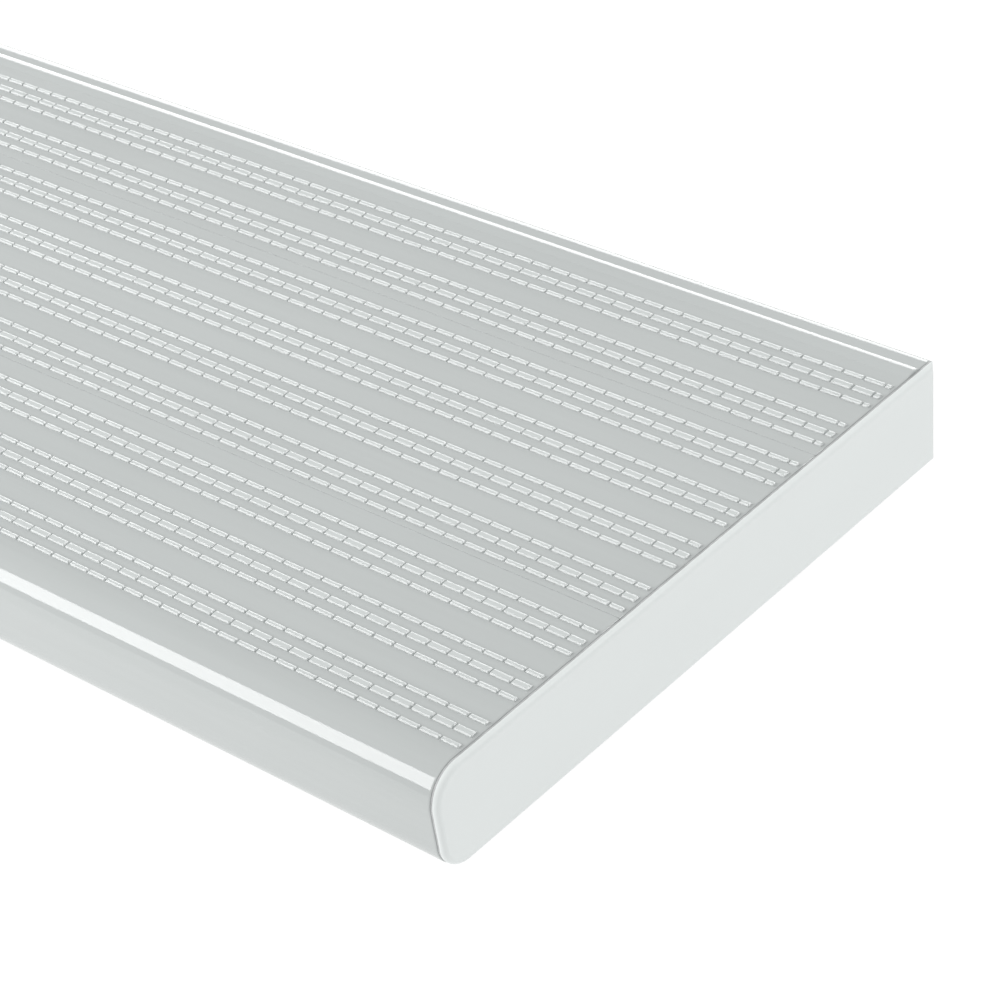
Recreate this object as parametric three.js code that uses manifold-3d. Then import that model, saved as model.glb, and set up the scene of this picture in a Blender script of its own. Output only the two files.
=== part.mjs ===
// Ribbed aluminium diving board. Three interlocking extrusions make the deck, a moulded cap with
// a gasket closes each end, and five cross members screwed on from below tie the extrusions together.
//
// Millimetres, +Z up. The origin is the middle of the footprint, on the plane that the undersides of
// the cross members share. +X runs to the tip, and +Y runs from the bullnose edge to the square edge.

import * as THREE from 'three';
import { mergeVertices } from 'three/addons/utils/BufferGeometryUtils.js';
import Module from 'manifold-3d';

const wasm = await Module();
wasm.setup();

// ---------------------------------------------------------------- driving dimensions

const LENGTH = 2438.4; // overall, outer face of one cap to the other: 8 ft
const WIDTH = 457.2; // overall, across: 18 in
const DEPTH = 67.2; // plain deck surface to the underside of the extrusions
const MEMBER_DEPTH = 8; // cross members below the extrusions
const RIB_GROUPS = 9; // groups of three ribs across the deck
const PITCH = WIDTH / 10; // from one rib group to the next
const FIRST_GROUP = 0.95 * PITCH; // from the bullnose side to the middle of the first group
const WALL = 4; // wall of the two closed edge boxes
const SKIN = 3.5; // deck skin between them
const LEG = 3; // lengthwise legs under the deck, and their feet
const GAP = 0.3; // clearance between pieces that touch

// ribs
const RIB_HEIGHT = 1.5;
const RIB_OFFSET = 0.245 * PITCH; // outer ribs from the middle one
const OUTER_RIB = { base: 3.2, top: 1.9 };
const MIDDLE_RIB = { base: 5.5, top: 3.9 };
const RIB_SHIFT = 0.7; // ribs stand this far from the middle of their group, towards the bullnose
const BEAD = { base: 9.6, top: 6 }; // continuous bead beside the square edge
const BEAD_OFFSET = 0.655 * PITCH; // from the last group to the bead

// edges
const NOSE_TOP = 0.51 * PITCH; // radius of the bullnose at the top
const NOSE_BOTTOM = 0.4 * PITCH; // and at the bottom
const SQUARE_ROUND = 2.2; // small rounding of the square edge
const SQUARE_LEAN = 6.2; // the square side leans in by this much towards the bottom
const EDGE_BOX = 88; // width of each closed edge box

// lengthwise joints between the extrusions: share of a pitch after the named group
const JOINT_A = { group: 2, after: 0.6 };
const JOINT_B = { group: 6, after: 0.52 };
const TONGUE = { height: 4.4, reach: 5, above: 34 }; // above: its middle, over the underside
const GROOVE_BLOCK = { width: 9, height: 14 };

// end caps
const CAP_PLATE = 4; // thickness of the cap's plate
const CAP_INSET = 0.4; // the cap stands in from the extrusions all round
const SEAL = 0.8; // thickness of the gasket
const SEAL_INSET = 0.9;
const SEAL_BAND = 2.2; // width of the gasket's band, over the ends of the walls
const LUG_LENGTH = 30;
const LUG_TOP = 3; // upper tongue of a lug
const LUG_BOTTOM = 9; // lower block of a lug, which takes the screw
const LUG_CLEAR = 0.8;
const LUG_WEB = 3; // web that joins the two lugs of an edge box

// cross members: middle, size along the board, thickness, and rows of screws from the middle
const MEMBER_WIDTH = 410; // across the board
const FULCRUM_X = -330;
const ANCHOR_X = -1109;
const MEMBERS = {
  tip_batten: { x: 1120, length: 40, depth: MEMBER_DEPTH, rows: [0] },
  mid_batten: { x: 420, length: 40, depth: MEMBER_DEPTH, rows: [0] },
  fulcrum_plate: { x: FULCRUM_X, length: 180, depth: 4, rows: [-66, 66] },
  rear_batten: { x: -760, length: 40, depth: MEMBER_DEPTH, rows: [0] },
  anchor_plate: { x: ANCHOR_X, length: 130, depth: MEMBER_DEPTH, rows: [-46, 46] },
};
const PAD = { length: 160, width: 398 }; // rubber pad bonded under the fulcrum plate
const ANCHOR_STRIPS = [0, 7]; // the anchor bolts pass through the plain strips after these groups

// anchor sleeves, for 12 mm bolts
const SLEEVE = { bore: 6.8, outer: 8.5, flange: 9.2, flangeHeight: 1.2 };
const BOLT_HOLE = 7;

// countersunk screws
const MEMBER_SCREW = { head: 5.5, shank: 3, headHeight: 2.6, length: 17 };
const CAP_SCREW = { head: 4.4, shank: 2.4, headHeight: 2, length: 11 };
const ROUND_SIDES = 12;
const SLEEVE_SIDES = 16;

// ---------------------------------------------------------------- derived places

const SIDE = WIDTH / 2;
const TIP = LENGTH / 2;
const BOTTOM = MEMBER_DEPTH;
const TOP = BOTTOM + DEPTH;
const PLANK_END = TIP - CAP_PLATE - SEAL - 2 * GAP;
const BULLNOSE_WEB = -SIDE + EDGE_BOX;
const SQUARE_WEB = SIDE - EDGE_BOX;
const groupY = (k) => -SIDE + FIRST_GROUP + k * PITCH;
const jointY = (joint) => groupY(joint.group) + joint.after * PITCH;
const JOINT_Y = [jointY(JOINT_A), jointY(JOINT_B)];
const landY = (k) => groupY(k) + PITCH / 2; // middle of the plain strip after group k

// Legs stand under the plain strips, so that the deck is stiff between the rib groups.
const LEG_Y = { bullnose: [landY(1) + 8], centre: [landY(3), landY(4), landY(5)] };
const FOOT = 24; // width of a foot
const FOOT_SCREW = 7; // a screw goes through a foot beside its leg

// A batten has two screws in every extrusion. A row on a plate or a cap leaves two of them out.
const PLATE_ROW = [
  -SIDE + 42,
  LEG_Y.centre[0] + FOOT_SCREW,
  LEG_Y.centre[2] + FOOT_SCREW,
  SIDE - 42,
];
const BATTEN_ROW = [...PLATE_ROW, LEG_Y.bullnose[0] + FOOT_SCREW, SQUARE_WEB + 16].sort((a, b) => a - b);
const CAP_SCREW_X = PLANK_END - 14;

// Every screw of a cross member, as [x, y].
function screwPlaces({ x, rows }) {
  const row = rows.length === 1 ? BATTEN_ROW : PLATE_ROW;
  return rows.flatMap((offset) => row.map((y) => [x + offset, y]));
}

// ---------------------------------------------------------------- solids and meshes

// A closed three.js geometry as a manifold-3d solid.
function solid(geometry) {
  const bare = geometry.clone();
  bare.deleteAttribute('normal');
  bare.deleteAttribute('uv');
  const merged = mergeVertices(bare, 1e-5);
  const vertProperties = new Float32Array(merged.attributes.position.array);
  const triVerts = new Uint32Array(merged.index.array);
  return new wasm.Manifold(new wasm.Mesh({ numProp: 3, vertProperties, triVerts }));
}

// A manifold-3d solid as a three.js geometry.
function toGeometry(body) {
  const mesh = body.getMesh();
  const geometry = new THREE.BufferGeometry();
  geometry.setAttribute('position', new THREE.BufferAttribute(new Float32Array(mesh.vertProperties), 3));
  geometry.setIndex(new THREE.BufferAttribute(new Uint32Array(mesh.triVerts), 1));
  geometry.computeVertexNormals();
  return geometry;
}

const joined = (bodies) => bodies.reduce((sum, body) => sum.add(body));
const cut = (body, tools) => tools.reduce((rest, tool) => rest.subtract(tool), body);

function box(x0, x1, y0, y1, z0, z1) {
  const geometry = new THREE.BoxGeometry(x1 - x0, y1 - y0, z1 - z0);
  geometry.translate((x0 + x1) / 2, (y0 + y1) / 2, (z0 + z1) / 2);
  return solid(geometry);
}

// A section drawn in (Y, Z), run along X from x0 to x1.
function alongX(shape, x0, x1) {
  const geometry = new THREE.ExtrudeGeometry(shape, { depth: x1 - x0, bevelEnabled: false, curveSegments: 8 });
  const yAxis = new THREE.Vector3(0, 1, 0);
  const zAxis = new THREE.Vector3(0, 0, 1);
  const xAxis = new THREE.Vector3(1, 0, 0);
  geometry.applyMatrix4(new THREE.Matrix4().makeBasis(yAxis, zAxis, xAxis));
  geometry.translate(x0, 0, 0);
  return solid(geometry);
}

// A profile of (radius, height) points turned round the upright line through x, y.
function turned(profile, x, y, z, sides = ROUND_SIDES) {
  const points = profile.map(([radius, height]) => new THREE.Vector2(radius, height));
  const geometry = new THREE.LatheGeometry(points, sides);
  geometry.rotateX(Math.PI / 2);
  geometry.translate(x, y, z);
  return solid(geometry);
}

const cylinder = (radius, x, y, z0, z1, sides = ROUND_SIDES) =>
  turned([[0, 0], [radius, 0], [radius, z1 - z0], [0, z1 - z0]], x, y, z0, sides);

// ---------------------------------------------------------------- section of the board

// The bullnose side of an outline, from the top to the underside, stood in by inset.
function drawBullnose(shape, inset) {
  shape.lineTo(-SIDE + NOSE_TOP, TOP - inset);
  shape.absarc(-SIDE + NOSE_TOP, TOP - NOSE_TOP, NOSE_TOP - inset, Math.PI / 2, Math.PI, false);
  shape.absarc(-SIDE + NOSE_BOTTOM, BOTTOM + NOSE_BOTTOM, NOSE_BOTTOM - inset, Math.PI, 1.5 * Math.PI, false);
}

// The square side, from the underside to the top, stood in by inset.
function drawSquareSide(shape, inset) {
  const round = SQUARE_ROUND;
  const low = SIDE - SQUARE_LEAN - inset;
  const high = SIDE - inset;
  shape.lineTo(low - round, BOTTOM + inset);
  shape.quadraticCurveTo(low, BOTTOM + inset, low, BOTTOM + inset + round);
  shape.lineTo(high, TOP - inset - round);
  shape.quadraticCurveTo(high, TOP - inset, high - round, TOP - inset);
}

// The whole outline of the board, for the caps and gaskets.
function boardOutline(inset, kind = THREE.Shape) {
  const shape = new kind();
  shape.moveTo(0, TOP - inset);
  drawBullnose(shape, inset);
  shape.lineTo(0, BOTTOM + inset);
  drawSquareSide(shape, inset);
  shape.closePath();
  return shape;
}

function bullnoseBoxOutline(inset, kind = THREE.Shape) {
  const shape = new kind();
  shape.moveTo(BULLNOSE_WEB - inset, TOP - inset);
  drawBullnose(shape, inset);
  shape.lineTo(BULLNOSE_WEB - inset, BOTTOM + inset);
  shape.closePath();
  return shape;
}

function squareBoxOutline(inset, kind = THREE.Shape) {
  const shape = new kind();
  shape.moveTo(SQUARE_WEB + inset, TOP - inset);
  shape.lineTo(SQUARE_WEB + inset, BOTTOM + inset);
  drawSquareSide(shape, inset);
  shape.closePath();
  return shape;
}

// A closed edge box: its outline with the chamber as a hole that runs out at both ends.
function edgeBox(outline) {
  const shape = outline(0);
  shape.holes.push(outline(WALL, THREE.Path));
  return alongX(shape, -PLANK_END, PLANK_END);
}

// A low ridge on the deck. Its foot is sunk a little into the skin.
function ridge(y, { base, top }) {
  const sunk = 0.5;
  const shape = new THREE.Shape();
  shape.moveTo(y - base / 2, TOP - sunk);
  shape.lineTo(y + base / 2, TOP - sunk);
  shape.lineTo(y + base / 2, TOP);
  shape.lineTo(y + top / 2, TOP + RIB_HEIGHT);
  shape.lineTo(y - top / 2, TOP + RIB_HEIGHT);
  shape.lineTo(y - base / 2, TOP);
  shape.closePath();
  return alongX(shape, -PLANK_END, PLANK_END);
}

function ribGroups(first, last) {
  const ribs = [];
  for (let k = first; k <= last; k += 1) {
    const middle = groupY(k) - RIB_SHIFT;
    ribs.push(ridge(middle - RIB_OFFSET, OUTER_RIB));
    ribs.push(ridge(middle, MIDDLE_RIB));
    ribs.push(ridge(middle + RIB_OFFSET, OUTER_RIB));
  }
  return ribs;
}

const fullLength = (y0, y1, z0, z1) => box(-PLANK_END, PLANK_END, y0, y1, z0, z1);
const skin = (y0, y1) => fullLength(y0, y1, TOP - SKIN, TOP);

// A leg under the deck with a foot that reaches left and right of it.
function leg(y, left = FOOT / 2, right = FOOT / 2) {
  const post = fullLength(y - LEG / 2, y + LEG / 2, BOTTOM, TOP - SKIN / 2);
  const foot = fullLength(y - left, y + right, BOTTOM, BOTTOM + LEG);
  return post.add(foot);
}

const TONGUE_Z = BOTTOM + TONGUE.above;

// The grooved edge of an extrusion, on the low-Y side of a joint.
function groovedEdge(joint) {
  const edge = joint - GAP;
  const half = GROOVE_BLOCK.height / 2;
  const block = fullLength(edge - GROOVE_BLOCK.width, edge, TONGUE_Z - half, TONGUE_Z + half);
  const depth = TONGUE.reach + GAP;
  const grooveHalf = TONGUE.height / 2 + GAP;
  const groove = fullLength(edge - depth, edge + 1, TONGUE_Z - grooveHalf, TONGUE_Z + grooveHalf);
  return leg(edge - LEG / 2, FOOT / 2, LEG / 2).add(block).subtract(groove);
}

// The tongued edge, on the high-Y side.
function tonguedEdge(joint) {
  const edge = joint + GAP;
  const half = TONGUE.height / 2;
  const tongue = fullLength(joint - TONGUE.reach + GAP, edge + LEG / 2, TONGUE_Z - half, TONGUE_Z + half);
  return leg(edge + LEG / 2, LEG / 2, FOOT / 2).add(tongue);
}

// ---------------------------------------------------------------- holes

const anchorY = ANCHOR_STRIPS.map(landY);
const capScrewPlaces = (x) => PLATE_ROW.map((y) => [x, y]);

// Holes through the undersides of the extrusions for every screw.
function screwHoles() {
  const memberScrews = Object.values(MEMBERS).flatMap(screwPlaces);
  const capScrews = [CAP_SCREW_X, -CAP_SCREW_X].flatMap(capScrewPlaces);
  return [
    ...memberScrews.map(([x, y]) => cylinder(MEMBER_SCREW.shank + GAP, x, y, BOTTOM - 1, BOTTOM + WALL + 1)),
    ...capScrews.map(([x, y]) => capScrew(x, y, GAP)),
  ];
}

const anchorHoles = () =>
  anchorY.map((y) => cylinder(SLEEVE.outer + GAP, ANCHOR_X, y, BOTTOM - 1, TOP + 3, SLEEVE_SIDES));

// ---------------------------------------------------------------- sub-parts

function bullnosePlank() {
  const body = joined([
    edgeBox(bullnoseBoxOutline),
    skin(BULLNOSE_WEB - 1, JOINT_Y[0] - GAP),
    ...LEG_Y.bullnose.map((y) => leg(y, FOOT / 2, FOOT / 2)),
    groovedEdge(JOINT_Y[0]),
    ...ribGroups(0, JOINT_A.group),
  ]);
  return cut(body, [...screwHoles(), ...anchorHoles()]);
}

function centrePlank() {
  const body = joined([
    skin(JOINT_Y[0] + GAP, JOINT_Y[1] - GAP),
    tonguedEdge(JOINT_Y[0]),
    ...LEG_Y.centre.map((y) => leg(y)),
    groovedEdge(JOINT_Y[1]),
    ...ribGroups(JOINT_A.group + 1, JOINT_B.group),
  ]);
  return cut(body, screwHoles());
}

function squareEdgePlank() {
  const body = joined([
    edgeBox(squareBoxOutline),
    skin(JOINT_Y[1] + GAP, SQUARE_WEB + 1),
    tonguedEdge(JOINT_Y[1]),
    ...ribGroups(JOINT_B.group + 1, RIB_GROUPS - 1),
    ridge(groupY(RIB_GROUPS - 1) + BEAD_OFFSET, BEAD),
  ]);
  return cut(body, [...screwHoles(), ...anchorHoles()]);
}

// The chambers that a cap's lugs go into, as spans of Y between their walls.
function chambers() {
  const half = LEG / 2;
  const edgeOf = (joint, side) => joint + side * (GAP + LEG);
  const [legA] = LEG_Y.bullnose;
  const [legB, legC, legD] = LEG_Y.centre;
  return [
    [-SIDE + NOSE_TOP, BULLNOSE_WEB - WALL],
    [BULLNOSE_WEB, legA - half],
    [edgeOf(JOINT_Y[0], 1), legB - half],
    [legB + half, legC - half],
    [legC + half, legD - half],
    [SQUARE_WEB + WALL, SIDE - SQUARE_LEAN - WALL - 4],
  ];
}

// Lugs for the cap at the tip: an upper tongue under the skin and a lower block over the feet. In the
// edge boxes a web joins the two.
function lugs() {
  const x0 = TIP - CAP_PLATE - LUG_LENGTH;
  const x1 = TIP - CAP_PLATE + 1;
  const upper = TOP - WALL - LUG_CLEAR;
  const lower = BOTTOM + WALL + LUG_CLEAR;
  const pairs = chambers().flatMap(([y0, y1]) => [
    box(x0, x1, y0 + LUG_CLEAR, y1 - LUG_CLEAR, upper - LUG_TOP, upper),
    box(x0, x1, y0 + LUG_CLEAR, y1 - LUG_CLEAR, lower, lower + LUG_BOTTOM),
  ]);
  return [...pairs, ...anchorY.map((y) => box(x0, x1, y - LUG_WEB / 2, y + LUG_WEB / 2, lower, upper))];
}

// The plate of the cap at the tip.
const capPlate = () => alongX(boardOutline(CAP_INSET), TIP - CAP_PLATE, TIP);

function tipCap() {
  const pilots = capScrewPlaces(CAP_SCREW_X).map(([x, y]) =>
    cylinder(CAP_SCREW.shank + GAP, x, y, BOTTOM, BOTTOM + CAP_SCREW.length + 1));
  return cut(joined([capPlate(), ...lugs()]), pilots);
}

function tipSeal() {
  const shape = boardOutline(SEAL_INSET);
  shape.holes.push(boardOutline(SEAL_INSET + SEAL_BAND, THREE.Path));
  return alongX(shape, PLANK_END + GAP, PLANK_END + GAP + SEAL);
}

// The piece for the butt end is the one for the tip, reflected along the board.
const atButt = (body) => body.mirror([1, 0, 0]);

// A countersunk screw whose head is level with z. grow makes the clearance hole for it.
function countersunk(size, x, y, z, grow = 0) {
  const head = size.head + grow;
  const shank = size.shank + grow;
  const tip = size.length + grow;
  return turned([[0, -grow], [head, -grow], [shank, size.headHeight], [shank, tip], [0, tip]], x, y, z);
}

function capScrew(x, y, grow = 0) {
  return countersunk(CAP_SCREW, x, y, BOTTOM + GAP / 2, grow);
}

function memberScrew(x, y, z, grow = 0) {
  return countersunk(MEMBER_SCREW, x, y, z, grow);
}

// Head level of the screws in a member that is `depth` thick.
const headLevel = (depth) => BOTTOM - depth + GAP / 2;

// A bar or plate across the underside, with its countersunk holes.
function crossMember(member) {
  const { x, length, depth } = member;
  const half = MEMBER_WIDTH / 2;
  const bar = box(x - length / 2, x + length / 2, -half, half, BOTTOM - depth, BOTTOM - GAP);
  return cut(bar, screwPlaces(member).map(([sx, sy]) => memberScrew(sx, sy, headLevel(depth), GAP)));
}

const anchorBoltHoles = () =>
  anchorY.map((y) => cylinder(BOLT_HOLE, ANCHOR_X, y, -1, BOTTOM + 1, SLEEVE_SIDES));

function fulcrumPad() {
  const half = { x: PAD.length / 2, y: PAD.width / 2 };
  const top = BOTTOM - MEMBERS.fulcrum_plate.depth - GAP;
  return box(FULCRUM_X - half.x, FULCRUM_X + half.x, -half.y, half.y, 0, top);
}

// A flanged tube that carries the clamping load of an anchor bolt through the board.
function anchorSleeve(y) {
  const { bore, outer, flange, flangeHeight } = SLEEVE;
  const low = BOTTOM + GAP;
  const step = TOP + GAP - low;
  const end = step + flangeHeight;
  const profile = [[bore, 0], [outer, 0], [outer, step], [flange, step], [flange, end], [bore, end], [bore, 0]];
  return turned(profile, ANCHOR_X, y, low, SLEEVE_SIDES);
}

// ---------------------------------------------------------------- materials and assembly

const finish = (color, roughness, metalness) => () =>
  new THREE.MeshStandardMaterial({ color, roughness, metalness });
const coat = finish(0xc3c7c6, 0.35, 0.1);
const moulding = finish(0xe0e4e3, 0.45, 0);
const rubber = finish(0x3a3c3d, 0.85, 0);
const bareMetal = finish(0xb4b8ba, 0.4, 0.9);
const steel = finish(0x8f9496, 0.3, 1);

const board = new THREE.Group();

function add(name, body, material) {
  const mesh = new THREE.Mesh(toGeometry(body), material());
  mesh.name = name;
  board.add(mesh);
}

add('bullnose_plank', bullnosePlank(), coat);
add('centre_plank', centrePlank(), coat);
add('square_edge_plank', squareEdgePlank(), coat);

add('tip_cap', tipCap(), moulding);
add('tip_cap_seal', tipSeal(), rubber);
add('butt_cap', atButt(tipCap()), moulding);
add('butt_cap_seal', atButt(tipSeal()), rubber);

for (const [name, member] of Object.entries(MEMBERS)) {
  const holes = name === 'anchor_plate' ? anchorBoltHoles() : [];
  add(name, cut(crossMember(member), holes), bareMetal);
}
add('fulcrum_pad', fulcrumPad(), rubber);
anchorY.forEach((y, i) => add(`anchor_sleeve_${i + 1}`, anchorSleeve(y), steel));

// Screws are numbered row by row, from the bullnose side.
for (const [name, member] of Object.entries(MEMBERS)) {
  screwPlaces(member).forEach(([x, y], i) => {
    add(`${name}_screw_${i + 1}`, memberScrew(x, y, headLevel(member.depth)), steel);
  });
}
for (const [end, endX] of [['tip', CAP_SCREW_X], ['butt', -CAP_SCREW_X]]) {
  capScrewPlaces(endX).forEach(([x, y], i) => add(`${end}_cap_screw_${i + 1}`, capScrew(x, y), steel));
}

export default board;
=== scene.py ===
"""Looks of the ribbed aluminium diving board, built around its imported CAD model."""

import math
from collections import namedtuple

import bmesh
import bpy
from mathutils import Matrix, Vector
from mathutils.geometry import delaunay_2d_cdt


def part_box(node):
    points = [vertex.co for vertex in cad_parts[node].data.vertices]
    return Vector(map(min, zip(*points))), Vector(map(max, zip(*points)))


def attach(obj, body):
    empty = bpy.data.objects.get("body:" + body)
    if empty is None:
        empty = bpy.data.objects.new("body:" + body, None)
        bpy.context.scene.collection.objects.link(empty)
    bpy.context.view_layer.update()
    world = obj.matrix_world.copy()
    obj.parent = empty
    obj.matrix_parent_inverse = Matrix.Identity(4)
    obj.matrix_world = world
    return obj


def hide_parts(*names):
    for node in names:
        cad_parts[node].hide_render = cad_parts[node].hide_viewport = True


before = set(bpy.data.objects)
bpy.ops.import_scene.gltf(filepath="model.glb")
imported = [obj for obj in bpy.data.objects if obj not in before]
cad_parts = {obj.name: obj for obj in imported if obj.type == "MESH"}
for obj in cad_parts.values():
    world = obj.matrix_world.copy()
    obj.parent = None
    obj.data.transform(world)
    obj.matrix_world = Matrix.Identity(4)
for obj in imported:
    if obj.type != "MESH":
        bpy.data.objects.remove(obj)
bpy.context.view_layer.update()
scene = bpy.context.scene
MM = 0.001


def span(node):
    """Lowest and highest corner of a CAD node, in millimetres."""
    low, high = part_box(node)
    return low / MM, high / MM


# ------------------------------------------------------------------ camera

camera = bpy.data.objects.new("camera", bpy.data.cameras.new("camera"))
scene.collection.objects.link(camera)
camera.data.lens = 121.24
camera.data.sensor_width = 36
camera.data.clip_start = 0.05
camera.data.clip_end = 60
right, up, back = (0.7433, 0.6553, -0.1346), (-0.3040, 0.5101, 0.8046), (0.5959, -0.5571, 0.5783)
camera.rotation_mode = "QUATERNION"
camera.rotation_quaternion = Matrix((right, up, back)).transposed().to_quaternion()
camera.location = (2.2544, -1.1137, 1.2136)
scene.camera = camera

# ------------------------------------------------------------------ dimensions, in millimetres

plank_low, plank_high = span("bullnose_plank")
square_low, square_high = span("square_edge_plank")
END = plank_high.x
SIDE = square_high.y
BOTTOM = plank_low.z
RIB = 1.5
TOP = plank_high.z - RIB
PITCH = SIDE / 5
TIP = span("tip_cap")[1].x

WALL, SKIN, LEG, FOOT = 4.0, 3.5, 3.0, 24.0
NOSE_TOP, NOSE_BOTTOM = 0.51 * PITCH, 0.4 * PITCH
SQUARE_ROUND, SQUARE_LEAN = 2.2, 6.2
WEB = SIDE - 88
GAP = 0.3
SEAM = 0.05  # half the hairline between two extrusions, at the deck
TONGUE_Z = BOTTOM + 34
TONGUE_HALF, TONGUE_REACH = 2.2, 4.7
GROOVE_HALF, GROOVE_REACH, GROOVE_WALL = 2.5, 5.3, 7.0
EDGE_FOOT, GROOVE_BACK = 13.5, 9.0
SEAM_LOW, SEAM_HIGH, SEAM_ROUND = 2.4, 1.6, 0.3  # where the gap narrows to the hairline, under the deck

GROUP_Y = [-SIDE + (0.95 + k) * PITCH for k in range(9)]
JOINTS = [GROUP_Y[2] + 0.6 * PITCH, GROUP_Y[6] + 0.52 * PITCH]
LAND_Y = [y + PITCH / 2 for y in GROUP_Y]
LEG_A = LAND_Y[1] + 8
LEGS_B = [LAND_Y[3], LAND_Y[4], LAND_Y[5]]
RIB_Y = [y - 0.7 for y in GROUP_Y]

# Bead beside the square edge: an arc on a short slope, and where the two slopes meet the deck.
BEAD_Y = GROUP_Y[8] + 0.655 * PITCH
BEAD_CURVE, BEAD_HALF, BEAD_HEIGHT = 17.0, 4.9, 1.13
BEAD_FAR_FOOT, BEAD_NEAR_FOOT = 5.1, 6.5
EDGE_ACROSS, EDGE_DOWN = 7.0, 2.0  # of the soft corner between the deck and the square side

# Ribs: half width and height of each corner, from the foot to the flat top.
OUTER_RIB = [(2.05, 0.0), (1.85, 0.1), (1.72, 0.35), (1.68, 0.64), (1.05, 1.35), (0.3, 1.5)]
MIDDLE_RIB = [(2.85, 0.0), (2.65, 0.1), (2.52, 0.35), (2.48, 0.64), (1.85, 1.35), (1.1, 1.5)]
RIB_OFFSET = 0.245 * PITCH

# Cuts across the ribs: every CUT_PITCH, a little askew.
CUT_PITCH = 15.6
CUT_FIRST = 15.5
CUT_SKEW = -1.13 / PITCH
CUTS = 155
CUT_FLOOR, CUT_LIP, CUT_BEVEL = 0.35, 0.5, 1.1  # from the middle of a cut towards the butt end
CUT_FAR, CUT_WALL = 0.75, 0.95  # towards the tip: to the end of the floor and to the top of the wall
CUT_LEVEL, LIP_LEVEL = 0.1, 0.9  # of the floor of a cut and of its lip, over the deck
RIB_END = 1.9  # of the ribs, from the end of an extrusion
RIB_BEVEL, RIB_FACE = 0.65, 0.15  # inwards and outwards from RIB_END

# Rounded ends of the extrusions: distance from the end, and share of the round that is left there.
END_STEPS = [(0.0, 1.0), (0.25, 0.45), (0.75, 0.12), (1.5, 0.0)]
END_ROUND, INNER_ROUND = 0.5, 0.2  # of the ends of an extrusion: its outer faces, and the walls inside

# Screws: radius of the head and the shank, height of the head, width across the socket.
ScrewSize = namedtuple("ScrewSize", "head shank head_height socket")
MEMBER_SCREW = ScrewSize(5.5, 3, 2.6, 4.0)
CAP_SCREW = ScrewSize(4.4, 2.4, 2, 3.0)
MEMBER_HOLE, CAP_HOLE, ANCHOR_HOLE = 3.3, 2.7, 8.8  # radii
MEMBER_MOUTH, CAP_MOUTH, CAP_SINK = 3.7, 4.7, 4.65
PLANK_SMOOTH = 9.5  # degrees: sharper edges of the extrusions than this stay crisp

# ------------------------------------------------------------------ materials


class Nodes:
    """Short ways to wire a material's nodes."""

    def __init__(self, name):
        self.material = bpy.data.materials.new(name)
        self.material.use_nodes = True
        self.tree = self.material.node_tree
        self.shader = self.tree.nodes["Principled BSDF"]
        self.coord = self.add("ShaderNodeTexCoord").outputs["Object"]

    def add(self, kind, **values):
        node = self.tree.nodes.new(kind)
        for key, value in values.items():
            setattr(node, key, value)
        return node

    def link(self, a, b):
        self.tree.links.new(a, b)

    def stretched(self, x, y, z):
        mapping = self.add("ShaderNodeMapping")
        mapping.inputs["Scale"].default_value = (x, y, z)
        self.link(self.coord, mapping.inputs["Vector"])
        return mapping.outputs["Vector"]

    def noise(self, vector, scale, detail=3.0, rough=0.55):
        node = self.add("ShaderNodeTexNoise")
        node.inputs["Scale"].default_value = scale
        node.inputs["Detail"].default_value = detail
        node.inputs["Roughness"].default_value = rough
        self.link(vector, node.inputs["Vector"])
        return node.outputs["Fac"]

    def ramp(self, value, stops):
        node = self.add("ShaderNodeValToRGB")
        points = node.color_ramp.elements
        for i, (at, colour) in enumerate(stops):
            point = points[i] if i < 2 else points.new(at)
            point.position = at
            point.color = (*colour, 1) if len(colour) == 3 else (*colour * 3, 1)
        self.link(value, node.inputs["Fac"])
        return node.outputs["Color"]

    def mix(self, a, b, fac, blend="MULTIPLY"):
        node = self.add("ShaderNodeMix", data_type="RGBA", blend_type=blend)
        node.inputs["Factor"].default_value = fac
        self.link(a, node.inputs["A"])
        self.link(b, node.inputs["B"])
        return node.outputs["Result"]

    def spread(self, value, low, high, from_low=0.3, from_high=0.7):
        node = self.add("ShaderNodeMapRange")
        ends = {"From Min": from_low, "From Max": from_high, "To Min": low, "To Max": high}
        for key, number in ends.items():
            node.inputs[key].default_value = number
        self.link(value, node.inputs["Value"])
        return node.outputs["Result"]

    def bump(self, height, distance, strength, below=None):
        node = self.add("ShaderNodeBump")
        node.inputs["Strength"].default_value = strength
        node.inputs["Distance"].default_value = distance
        self.link(height, node.inputs["Height"])
        if below is not None:
            self.link(below, node.inputs["Normal"])
        return node.outputs["Normal"]

    def finish(self, colour, rough, normal, **fixed):
        self.link(colour, self.shader.inputs["Base Color"])
        self.link(rough, self.shader.inputs["Roughness"])
        self.link(normal, self.shader.inputs["Normal"])
        for key, value in fixed.items():
            self.shader.inputs[key.replace("_", " ")].default_value = value
        return self.material


def tinted(colour, shades):
    return [(at, tuple(c * shade for c in colour)) for at, shade in shades]


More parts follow.
